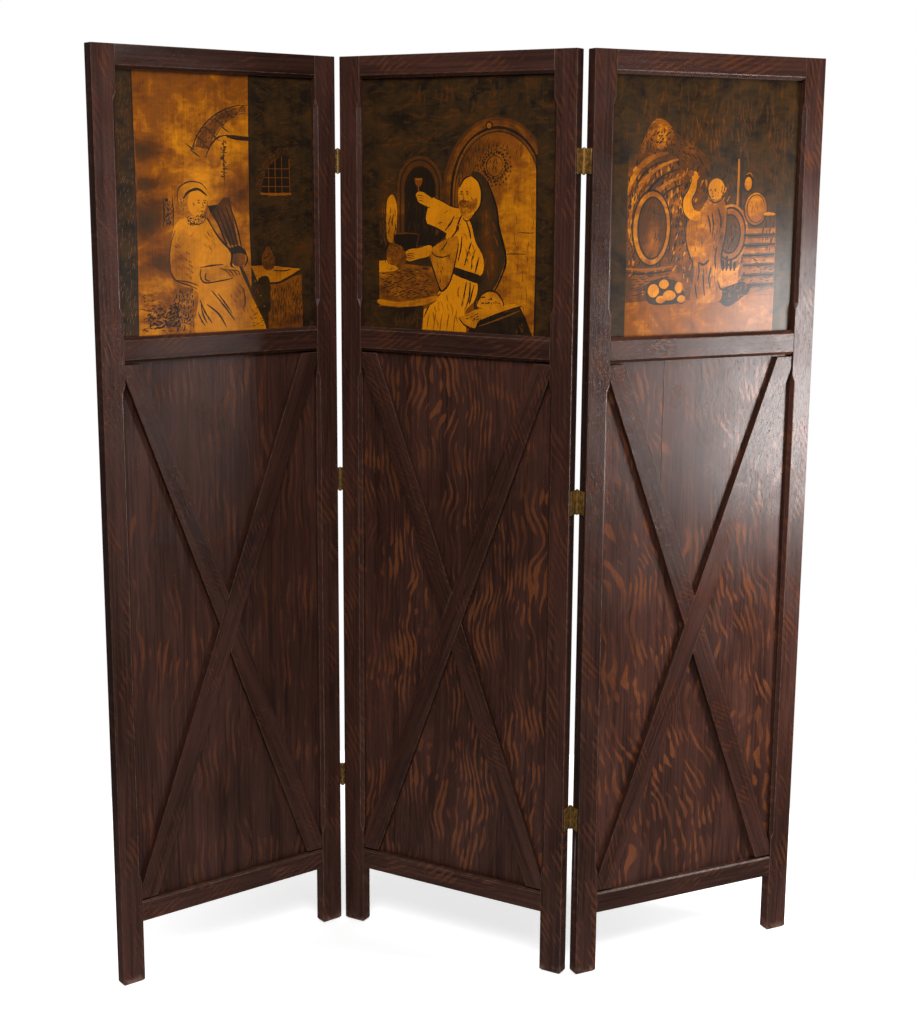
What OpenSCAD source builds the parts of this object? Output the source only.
// Folding partition wall: three framed oak leaves joined by butt hinges.
// Each leaf is drawn in its own frame: X from its left edge to its right, Y from its
// front (the picture side) to its back, Z up from the floor. The leaves are then set on
// the floor in a zigzag. The origin is on the floor, at the middle of the whole zigzag.

/* [Leaf] */
// Height of a leaf, floor to top
leaf_h = 1727; // [1500:1:2100]
// Width of a leaf, outer edge to outer edge
leaf_w = 496; // [380:1:640]
// Thickness of the frame timber
frame_t = 24; // [22:0.5:34]

/* [Stiles and rails] */
// Width of a stile, seen from the front
stile_w = 44.5; // [36:0.5:60]
// Width of the top rail
top_rail_w = 41; // [34:0.5:60]
// Width of the middle rail
mid_rail_w = 46; // [40:0.5:66]
// Height of the middle rail's lower edge above the floor
mid_rail_z = 1180; // [960:1:1200]
// Width of the bottom rail
bottom_rail_w = 40; // [32:0.5:60]
// Clear height of the legs, floor to the bottom rail
leg_h = 121.5; // [80:0.5:170]

/* [Chamfers] */
// Chamfer on the stiles, the top rail and the middle rail
chamfer = 6; // [3:0.5:8]
// Chamfer on the bottom rail's upper edge
bottom_chamfer = 3; // [1:0.5:6]
// Square length that a stile keeps at each end of a chamfer
chamfer_stop = 38; // [20:1:60]
// Length of the slope that ends a stile's chamfer
chamfer_run = 14; // [6:1:24]
// Chamfer around the bottom of each leg
foot_chamfer = 4; // [1:0.5:7]

/* [Joinery] */
// Thickness of the tenons
tenon_t = 8; // [6:0.5:10]
// Length of the tenons
tenon_l = 28; // [15:0.5:32]
// Shoulder above and below a tenon
tenon_shoulder = 8.5; // [8:0.5:11]
// Depth of the grooves that hold the boards
groove_d = 7; // [5:0.5:8]
// Clearance around tenons and boards
joint_gap = 0.15; // [0.05:0.05:0.4]

/* [Boards] */
// Distance from the frame's front to the face of the boards
recess = 13; // [11:0.5:14]
// Thickness of the picture board
picture_t = 5; // [4:0.5:7]
// Thickness of the lower panel
panel_t = 6; // [4:0.5:7]

/* [Cross braces] */
// Width of a brace
brace_w = 39; // [28:0.5:50]
// Thickness of a brace
brace_t = 10; // [6:0.5:11]
// Distance from the opening's corner to the brace's centre line, along the rail
brace_inset = 12; // [0:0.5:20]
// Gap between the end of a brace and the rail
brace_end_gap = 3.5; // [0.5:0.5:8]

/* [Hinges] */
// Height of a hinge
hinge_h = 44.5; // [38:0.5:60]
// Width of a hinge plate across the stile's edge
plate_w = 19; // [17:0.5:21]
// Thickness of a hinge plate
plate_t = 2.2; // [1.6:0.1:2.6]
// Radius of the knuckles
knuckle_r = 3.5; // [3:0.1:4]
// Radius of the hinge pin
pin_r = 1.6; // [1.2:0.1:2]
// Running clearance between pin and knuckle
pin_gap = 0.06; // [0.03:0.01:0.1]
// Gap between neighbouring knuckles, and between the parts that fold past each other
running_gap = 0.3; // [0.3:0.05:0.6]
// Radius of the pin's heads
pin_head_r = 2.5; // [2.2:0.1:3]
// Height of the pin's heads
pin_head_h = 1.6; // [1:0.1:2.5]
// Distance from the leaf's top to the top hinge's centre
top_hinge_drop = 191; // [100:1:280]
// Height of the bottom hinge's centre above the floor
bottom_hinge_z = 315; // [200:1:420]

/* [Screws] */
// Radius of a screw's shank
screw_r = 1.6; // [1.2:0.1:2]
// Radius of a screw's countersunk head
screw_head_r = 3.1; // [2.6:0.1:3.4]
// Length of a screw from the top of its head
screw_l = 18; // [12:0.5:24]
// Distance from the hinge's centre to its upper and lower screws
screw_pitch = 14; // [11:0.5:16]
// Distance from the plate's knuckle edge to the middle screw
screw_near = 7; // [5:0.5:9]
// Distance from the plate's knuckle edge to the upper and lower screws
screw_far = 13; // [10:0.5:13.5]

/* [Standing] */
// Turn of the middle leaf, seen from above
middle_turn = -30.4; // [-45:0.1:-10]
// Fold of the left leaf from straight, towards the front
left_fold = 68.3; // [20:0.1:110]
// Fold of the right leaf from straight, towards the back
right_fold = 56.4; // [20:0.1:110]

/* [Hidden] */
$fn = 48;
LEAF_PARTS = ["left_stile", "right_stile", "top_rail", "middle_rail", "bottom_rail",
    "picture_board", "lower_panel", "falling_brace", "rising_brace"];
oak = "#3d2823";
oak_panel = "#4a302a";
burnt_wood = "#b4701f";
brass = "#a98a4a";
eps = 0.01;

opening_w = leaf_w - 2 * stile_w;
bottom_rail_top = leg_h + bottom_rail_w;
mid_rail_top = mid_rail_z + mid_rail_w;
top_rail_z = leaf_h - top_rail_w;
tongue = groove_d - 1;
pin_out = knuckle_r + running_gap;      // pin axis, in front of the leaf's face
pin_off = plate_t + running_gap;        // pin axis, beyond the leaf's edge
knuckle_h = (hinge_h - 2 * running_gap) / 3;
hinge_z = [bottom_hinge_z, (bottom_hinge_z + leaf_h - top_hinge_drop) / 2, leaf_h - top_hinge_drop];
BOTTOM = 0;
MIDDLE = 1;
TOP = 2;

// ---- where the leaves stand -------------------------------------------------------
function turned(p, a) = [p.x * cos(a) - p.y * sin(a), p.x * sin(a) + p.y * cos(a)];
left_pin = [-pin_off, -pin_out];                        // in the middle leaf's frame
right_pin = [leaf_w + pin_off, frame_t + pin_out];
left_leaf_pin = [leaf_w + pin_off, -pin_out];           // the same pins, in the side leaves' frames
right_leaf_pin = [-pin_off, frame_t + pin_out];
leaf_corners = [[0, 0], [leaf_w, 0], [leaf_w, frame_t], [0, frame_t]];
plan = concat(
    [for (p = leaf_corners) turned(p, middle_turn)],
    [for (p = leaf_corners) turned(left_pin + turned(p - left_leaf_pin, left_fold), middle_turn)],
    [for (p = leaf_corners) turned(right_pin + turned(p - right_leaf_pin, right_fold), middle_turn)]
);
plan_x = [for (p = plan) p.x];
plan_y = [for (p = plan) p.y];
centre = [min(plan_x) + max(plan_x), min(plan_y) + max(plan_y)] / 2;

module on_middle_leaf() {
    translate(-centre) rotate([0, 0, middle_turn]) children();
}

module on_left_leaf() {
    on_middle_leaf() translate(left_pin) rotate([0, 0, left_fold]) translate(-left_leaf_pin) children();
}

module on_right_leaf() {
    on_middle_leaf() translate(right_pin) rotate([0, 0, right_fold]) translate(-right_leaf_pin) children();
}

// Turns what is drawn for a left edge round to the right edge
module right_edge() {
    translate([leaf_w, 0, 0]) mirror([1, 0, 0]) children();
}

// Turns what is drawn for the front round to the back
module back_face() {
    translate([0, frame_t, 0]) mirror([0, 1, 0]) children();
}

// ---- the frame --------------------------------------------------------------------
// Cuts a chamfer that slopes out at both ends, along Z, from a left stile's inner front edge
module stopped_chamfer(z0, z1) {
    depth = chamfer / sqrt(2);
    out = 1;
    run_out = chamfer_run * out / depth;
    translate([stile_w, 0, 0]) rotate([0, 0, 135]) rotate([90, 0, 0])
        linear_extrude(4 * chamfer, center = true)
            polygon([[-out, z0 - run_out], [depth, z0 + chamfer_run],
                [depth, z1 - chamfer_run], [-out, z1 + run_out]]);
}

// Cuts the chamfer round the bottom of a leg
module foot_chamfers() {
    cut = [[-1, -1], [foot_chamfer, -1], [foot_chamfer, 0], [0, foot_chamfer], [-1, foot_chamfer]];
    for (x_side = [0, 1])
        translate([x_side * stile_w, 0, 0]) mirror([x_side, 0, 0])
            translate([0, frame_t + 1, 0]) rotate([90, 0, 0]) linear_extrude(frame_t + 2) polygon(cut);
    for (y_side = [0, 1])
        translate([0, y_side * frame_t, 0]) mirror([0, y_side, 0])
            translate([-1, 0, 0]) rotate([90, 0, 90]) linear_extrude(stile_w + 2) polygon(cut);
}

// Groove for a board, in the stile's inner face between two rails
module stile_groove(z0, z1, board_t) {
    translate([stile_w - groove_d, recess - joint_gap, z0 - groove_d])
        cube([groove_d + 1, board_t + 2 * joint_gap, z1 - z0 + 2 * groove_d]);
}

module mortise(z0, rail_w) {
    translate([stile_w - tenon_l - joint_gap, (frame_t - tenon_t) / 2 - joint_gap, z0 + tenon_shoulder - joint_gap])
        cube([tenon_l + joint_gap + 1, tenon_t + 2 * joint_gap, rail_w - 2 * tenon_shoulder + 2 * joint_gap]);
}

// Left stile; hinged is true where a hinge is screwed to its outer edge
module stile(hinged) {
    color(oak) difference() {
        cube([stile_w, frame_t, leaf_h]);
        stopped_chamfer(bottom_rail_top + chamfer_stop, mid_rail_z - chamfer_stop);
        stopped_chamfer(mid_rail_top + chamfer_stop, top_rail_z - chamfer_stop);
        foot_chamfers();
        stile_groove(bottom_rail_top, mid_rail_z, panel_t);
        stile_groove(mid_rail_top, top_rail_z, picture_t);
        mortise(leg_h, bottom_rail_w);
        mortise(mid_rail_z, mid_rail_w);
        mortise(top_rail_z, top_rail_w);
        if (hinged) screw_holes();
    }
}

// Stile whose hinge pins stand at the back
module back_hinged_stile() {
    color(oak) difference() {
        stile(false);
        back_face() screw_holes();
    }
}

// Rail between the stiles; low and high are its front chamfers, a groove of 0 is none
module rail(z0, rail_w, low, high, low_board, high_board) {
    section = concat(
        low > 0 ? [[0, z0 + low], [low, z0]] : [[0, z0]],
        [[frame_t, z0], [frame_t, z0 + rail_w]],
        high > 0 ? [[high, z0 + rail_w], [0, z0 + rail_w - high]] : [[0, z0 + rail_w]]
    );
    color(oak) difference() {
        union() {
            translate([stile_w, 0, 0]) rotate([90, 0, 90]) linear_extrude(opening_w) polygon(section);
            translate([stile_w - tenon_l, (frame_t - tenon_t) / 2, z0 + tenon_shoulder])
                cube([opening_w + 2 * tenon_l, tenon_t, rail_w - 2 * tenon_shoulder]);
        }
        if (low_board > 0)
            translate([stile_w - 1, recess - joint_gap, z0 - 1])
                cube([opening_w + 2, low_board + 2 * joint_gap, groove_d + 1]);
        if (high_board > 0)
            translate([stile_w - 1, recess - joint_gap, z0 + rail_w - groove_d])
                cube([opening_w + 2, high_board + 2 * joint_gap, groove_d + 1]);
    }
}

module top_rail() {
    rail(top_rail_z, top_rail_w, chamfer, 0, picture_t, 0);
}

module middle_rail() {
    rail(mid_rail_z, mid_rail_w, chamfer, chamfer, panel_t, picture_t);
}

module bottom_rail() {
    rail(leg_h, bottom_rail_w, 0, bottom_chamfer, 0, panel_t);
}

// ---- boards and braces ------------------------------------------------------------
module board(z0, z1, board_t) {
    translate([stile_w - tongue, recess, z0 - tongue])
        cube([opening_w + 2 * tongue, board_t, z1 - z0 + 2 * tongue]);
}

module picture_board() {
    color(burnt_wood) board(mid_rail_top, top_rail_z, picture_t);
}

module lower_panel() {
    color(oak_panel) board(bottom_rail_top, mid_rail_z, panel_t);
}

brace_run = mid_rail_z - bottom_rail_top;
brace_lean = atan((opening_w - 2 * brace_inset) / brace_run);

// Outline of a brace that leans left, in the opening's own plane
module brace_outline(grow) {
    intersection() {
        translate([leaf_w / 2, bottom_rail_top + brace_run / 2])
            rotate(brace_lean) square([brace_w + 2 * grow, 2 * brace_run], center = true);
        translate([stile_w + joint_gap, bottom_rail_top + brace_end_gap])
            square([opening_w - 2 * joint_gap, brace_run - 2 * brace_end_gap]);
    }
}

// Flat strip lying on the lower panel, cut to half its thickness where the other one crosses
module brace(lap_on_front) {
    half = (brace_t + joint_gap) / 2;
    lap_y = lap_on_front ? recess - brace_t + half : recess + 1;
    color(oak) difference() {
        translate([0, recess, 0]) rotate([90, 0, 0]) linear_extrude(brace_t) brace_outline(0);
        translate([0, lap_y, 0]) rotate([90, 0, 0]) linear_extrude(half + 1)
            right_lean() brace_outline(joint_gap);
    }
}

module right_lean() {
    translate([leaf_w, 0]) mirror([1, 0]) children();
}

// From the upper left corner down to the lower right, lapped on its front
module falling_brace() {
    brace(true);
}

// From the lower left corner up to the upper right, lapped on its back
module rising_brace() {
    translate([leaf_w, 0, 0]) mirror([1, 0, 0]) brace(false);
}

// ---- hinges, drawn on a left edge with the pin in front ---------------------------
function screw_places(z) = [[screw_far, z - screw_pitch], [screw_near, z], [screw_far, z + screw_pitch]];
function knuckle_z(z, i) = z - hinge_h / 2 + i * (knuckle_h + running_gap);

module screw_holes() {
    for (z = hinge_z, p = screw_places(z))
        translate([-1, p.x, p.y]) rotate([0, 90, 0])
            cylinder(h = screw_l - plate_t + 1 + joint_gap, r = screw_r + joint_gap / 2);
}

module screw(p) {
    head_h = screw_head_r - screw_r;
    slot_w = 0.8;
    translate([-plate_t + joint_gap, p.x, p.y]) rotate([0, 90, 0]) difference() {
        union() {
            cylinder(h = head_h, r1 = screw_head_r, r2 = screw_r);
            cylinder(h = screw_l - joint_gap, r = screw_r);
        }
        translate([-screw_head_r - 1, -slot_w / 2, -1]) cube([2 * screw_head_r + 2, slot_w, 1.7]);
    }
}

module screws() {
    color(brass) for (z = hinge_z, p = screw_places(z)) screw(p);
}

// Plate with its knuckles; knuckles lists which of the three it carries
module hinge_plate(z, knuckles) {
    countersink = screw_head_r - screw_r;
    color(brass) difference() {
        union() {
            translate([-plate_t, 0, z - hinge_h / 2]) cube([plate_t, plate_w, hinge_h]);
            for (i = knuckles) {
                translate([-pin_off, -pin_out, knuckle_z(z, i)]) cylinder(h = knuckle_h, r = knuckle_r);
                translate([-plate_t, -pin_out, knuckle_z(z, i)]) cube([plate_t, pin_out + 1, knuckle_h]);
            }
        }
        translate([-pin_off, -pin_out, z - hinge_h]) cylinder(h = 2 * hinge_h, r = pin_r + pin_gap);
        for (p = screw_places(z)) translate([-plate_t, p.x, p.y]) rotate([0, 90, 0]) {
            translate([0, 0, -1]) cylinder(h = plate_t + 2, r = screw_r + joint_gap / 2);
            translate([0, 0, -eps]) cylinder(h = countersink + joint_gap + eps,
                r1 = screw_head_r + 1.5 * joint_gap, r2 = screw_r + joint_gap / 2);
        }
    }
}

module double_plate(level) {
    hinge_plate(hinge_z[level], [0, 2]);
}

module single_plate(level) {
    hinge_plate(hinge_z[level], [1]);
}

// Pin with a domed head resting on each end of the knuckles
module hinge_pin(level) {
    head = [[0, 0], [pin_head_r, 0], [pin_head_r, pin_head_h / 2], [pin_r, pin_head_h], [0, pin_head_h]];
    color(brass) translate([-pin_off, -pin_out, hinge_z[level]]) {
        cylinder(h = hinge_h, r = pin_r, center = true);
        for (up = [0, 1]) mirror([0, 0, up]) translate([0, 0, hinge_h / 2]) rotate_extrude() polygon(head);
    }
}

// ---- left leaf --------------------------------------------------------------------
module left_leaf_left_stile() { on_left_leaf() stile(false); }
module left_leaf_right_stile() { on_left_leaf() right_edge() stile(true); }
module left_leaf_top_rail() { on_left_leaf() top_rail(); }
module left_leaf_middle_rail() { on_left_leaf() middle_rail(); }
module left_leaf_bottom_rail() { on_left_leaf() bottom_rail(); }
module left_leaf_picture_board() { on_left_leaf() picture_board(); }
module left_leaf_lower_panel() { on_left_leaf() lower_panel(); }
module left_leaf_falling_brace() { on_left_leaf() falling_brace(); }
module left_leaf_rising_brace() { on_left_leaf() rising_brace(); }
module left_leaf_screws() { on_left_leaf() right_edge() screws(); }

// ---- middle leaf ------------------------------------------------------------------
module middle_leaf_left_stile() { on_middle_leaf() stile(true); }
module middle_leaf_right_stile() { on_middle_leaf() right_edge() back_hinged_stile(); }
module middle_leaf_top_rail() { on_middle_leaf() top_rail(); }
module middle_leaf_middle_rail() { on_middle_leaf() middle_rail(); }
module middle_leaf_bottom_rail() { on_middle_leaf() bottom_rail(); }
module middle_leaf_picture_board() { on_middle_leaf() picture_board(); }
module middle_leaf_lower_panel() { on_middle_leaf() lower_panel(); }
module middle_leaf_falling_brace() { on_middle_leaf() falling_brace(); }
module middle_leaf_rising_brace() { on_middle_leaf() rising_brace(); }
module middle_leaf_left_screws() { on_middle_leaf() screws(); }
module middle_leaf_right_screws() { on_middle_leaf() right_edge() back_face() screws(); }

// ---- right leaf -------------------------------------------------------------------
module right_leaf_left_stile() { on_right_leaf() back_hinged_stile(); }
module right_leaf_right_stile() { on_right_leaf() right_edge() stile(false); }
module right_leaf_top_rail() { on_right_leaf() top_rail(); }
module right_leaf_middle_rail() { on_right_leaf() middle_rail(); }
module right_leaf_bottom_rail() { on_right_leaf() bottom_rail(); }
module right_leaf_picture_board() { on_right_leaf() picture_board(); }
module right_leaf_lower_panel() { on_right_leaf() lower_panel(); }
module right_leaf_falling_brace() { on_right_leaf() falling_brace(); }
module right_leaf_rising_brace() { on_right_leaf() rising_brace(); }
module right_leaf_screws() { on_right_leaf() back_face() screws(); }

// ---- hinges between the left and the middle leaf ----------------------------------
module left_hinge_double_plate(level) { on_middle_leaf() double_plate(level); }
module left_hinge_single_plate(level) { on_left_leaf() right_edge() single_plate(level); }
module left_hinge_pin(level) { on_middle_leaf() hinge_pin(level); }

// ---- hinges between the middle and the right leaf ---------------------------------
module right_hinge_double_plate(level) { on_middle_leaf() right_edge() back_face() double_plate(level); }
module right_hinge_single_plate(level) { on_right_leaf() back_face() single_plate(level); }
module right_hinge_pin(level) { on_middle_leaf() right_edge() back_face() hinge_pin(level); }

left_leaf_left_stile();
left_leaf_right_stile();
left_leaf_top_rail();
left_leaf_middle_rail();
left_leaf_bottom_rail();
left_leaf_picture_board();
left_leaf_lower_panel();
left_leaf_falling_brace();
left_leaf_rising_brace();
left_leaf_screws();

middle_leaf_left_stile();
middle_leaf_right_stile();
middle_leaf_top_rail();
middle_leaf_middle_rail();
middle_leaf_bottom_rail();
middle_leaf_picture_board();
middle_leaf_lower_panel();
middle_leaf_falling_brace();
middle_leaf_rising_brace();
middle_leaf_left_screws();
middle_leaf_right_screws();

right_leaf_left_stile();
right_leaf_right_stile();
right_leaf_top_rail();
right_leaf_middle_rail();
right_leaf_bottom_rail();
right_leaf_picture_board();
right_leaf_lower_panel();
right_leaf_falling_brace();
right_leaf_rising_brace();
right_leaf_screws();

left_hinge_double_plate(TOP);  // left_top_hinge_double_plate
left_hinge_single_plate(TOP);  // left_top_hinge_single_plate
left_hinge_pin(TOP);  // left_top_hinge_pin
left_hinge_double_plate(MIDDLE);  // left_middle_hinge_double_plate
left_hinge_single_plate(MIDDLE);  // left_middle_hinge_single_plate
left_hinge_pin(MIDDLE);  // left_middle_hinge_pin
left_hinge_double_plate(BOTTOM);  // left_bottom_hinge_double_plate
left_hinge_single_plate(BOTTOM);  // left_bottom_hinge_single_plate
left_hinge_pin(BOTTOM);  // left_bottom_hinge_pin

right_hinge_double_plate(TOP);  // right_top_hinge_double_plate
right_hinge_single_plate(TOP);  // right_top_hinge_single_plate
right_hinge_pin(TOP);  // right_top_hinge_pin
right_hinge_double_plate(MIDDLE);  // right_middle_hinge_double_plate
right_hinge_single_plate(MIDDLE);  // right_middle_hinge_single_plate
right_hinge_pin(MIDDLE);  // right_middle_hinge_pin
right_hinge_double_plate(BOTTOM);  // right_bottom_hinge_double_plate
right_hinge_single_plate(BOTTOM);  // right_bottom_hinge_single_plate
right_hinge_pin(BOTTOM);  // right_bottom_hinge_pin
